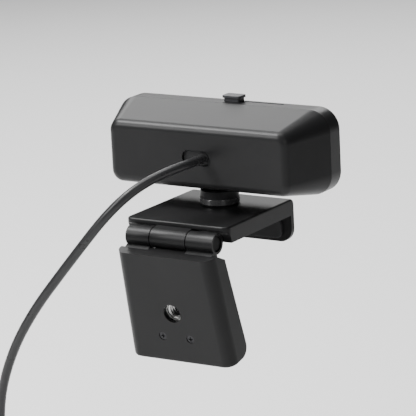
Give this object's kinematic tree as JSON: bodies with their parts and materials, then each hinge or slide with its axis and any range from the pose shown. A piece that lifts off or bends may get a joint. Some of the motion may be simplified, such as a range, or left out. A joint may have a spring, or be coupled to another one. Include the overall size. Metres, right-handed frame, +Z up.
{
  "type": "clip-on computer camera",
  "caption": "Wide tapered camera head on a pan and tilt neck, over a folding monitor clip with a tripod thread, with a lens shutter slider and a captive USB cord.",
  "frame": {"origin": "on the neck's vertical axis, on the pad face that rests on a monitor's top edge", "axes": "+Z up; the lens looks along -Y; the hinge and the cord are at the +Y side; +X is along the hinge, to the left when seen from the cord's side"},
  "size_m": [0.165, 0.0773, 0.2222],
  "materials": {
    "housing": "satin, fine moulded grain",
    "clip_plastic": "satin, fine moulded grain",
    "gloss_panel": "polished",
    "window": "polished, slightly tinted",
    "lens_glass": "polished, coated",
    "filter_glass": "polished",
    "lens_black": "dull black",
    "shutter_red": "dull",
    "board": "solder mask",
    "chips": "dull",
    "nylon": "plain",
    "steel": "plated",
    "bright_steel": "bright",
    "washer": "slippery nylon",
    "neck_plastic": "satin",
    "ring_gloss": "glossy",
    "rubber": "dull, soft",
    "jacket": "satin extruded jacket",
    "tie": "hook and loop strap",
    "plug_plastic": "moulded over the cord",
    "gold": "gold plated",
    "light": "clear"
  },
  "bodies": {
    "clip": {"clip_shell": "clip_plastic", "clip_cover": "clip_plastic", "cover_screws": "steel", "plate_pad": "rubber", "lip_pad": "rubber"},
    "leg": {"leg_shell": "clip_plastic", "leg_cover": "clip_plastic", "leg_pad": "rubber", "tripod_insert": "bright_steel", "leg_screws": "steel", "hinge_pin": "steel"},
    "neck": {"neck_post": "neck_plastic", "neck_ring": "ring_gloss", "swivel_screw": "steel", "swivel_washer": "washer"},
    "head": {"rear_housing": "housing", "front_bezel": "housing", "front_panel": "gloss_panel", "lens_window": "window", "bezel_screws": "steel", "lens_barrel": "lens_black", "front_lens": "lens_glass", "rear_lens": "lens_glass", "lens_holder": "lens_black", "infrared_filter": "filter_glass", "image_sensor": "chips", "main_board": "board", "board_screws": "steel", "holder_screws": "steel", "image_processor": "chips", "board_parts": "chips", "cord_connector": "nylon", "status_light": "light", "light_pipe": "light", "microphone_boards": "board", "microphones": "bright_steel", "microphone_gaskets": "rubber", "shutter_guide": "lens_black", "cord_grommet": "rubber", "cord_leads": "jacket", "tilt_bracket": "steel", "bracket_screws": "steel", "tilt_pin": "steel", "tilt_washers": "washer", "cord": "jacket", "cord_coil": "jacket", "cord_tie": "tie", "cord_tail": "jacket", "plug_body": "plug_plastic", "plug_shell": "bright_steel", "plug_tongue": "nylon", "plug_contacts": "gold"},
    "shutter": {"shutter_plate": "shutter_red", "shutter_knob": "housing"}
  },
  "joints": [
    {"name": "leg_hinge", "type": "hinge", "parent": "clip", "child": "leg", "pos_m": [0, 0.0321, 0.0006], "axis": [1, 0, 0], "range_deg": [-62, 90]},
    {"name": "head_pan", "type": "hinge", "parent": "clip", "child": "neck", "pos_m": [0, 0, 0.0092], "axis": [0, 0, 1], "range_deg": [-175, 175]},
    {"name": "head_tilt", "type": "hinge", "parent": "neck", "child": "head", "pos_m": [0, 0, 0.0156], "axis": [1, 0, 0], "range_deg": [-20, 22]},
    {"name": "shutter_slide", "type": "slide", "parent": "head", "child": "shutter", "axis": [-1, 0, 0], "range_m": [0, 0.018]}
  ]
}
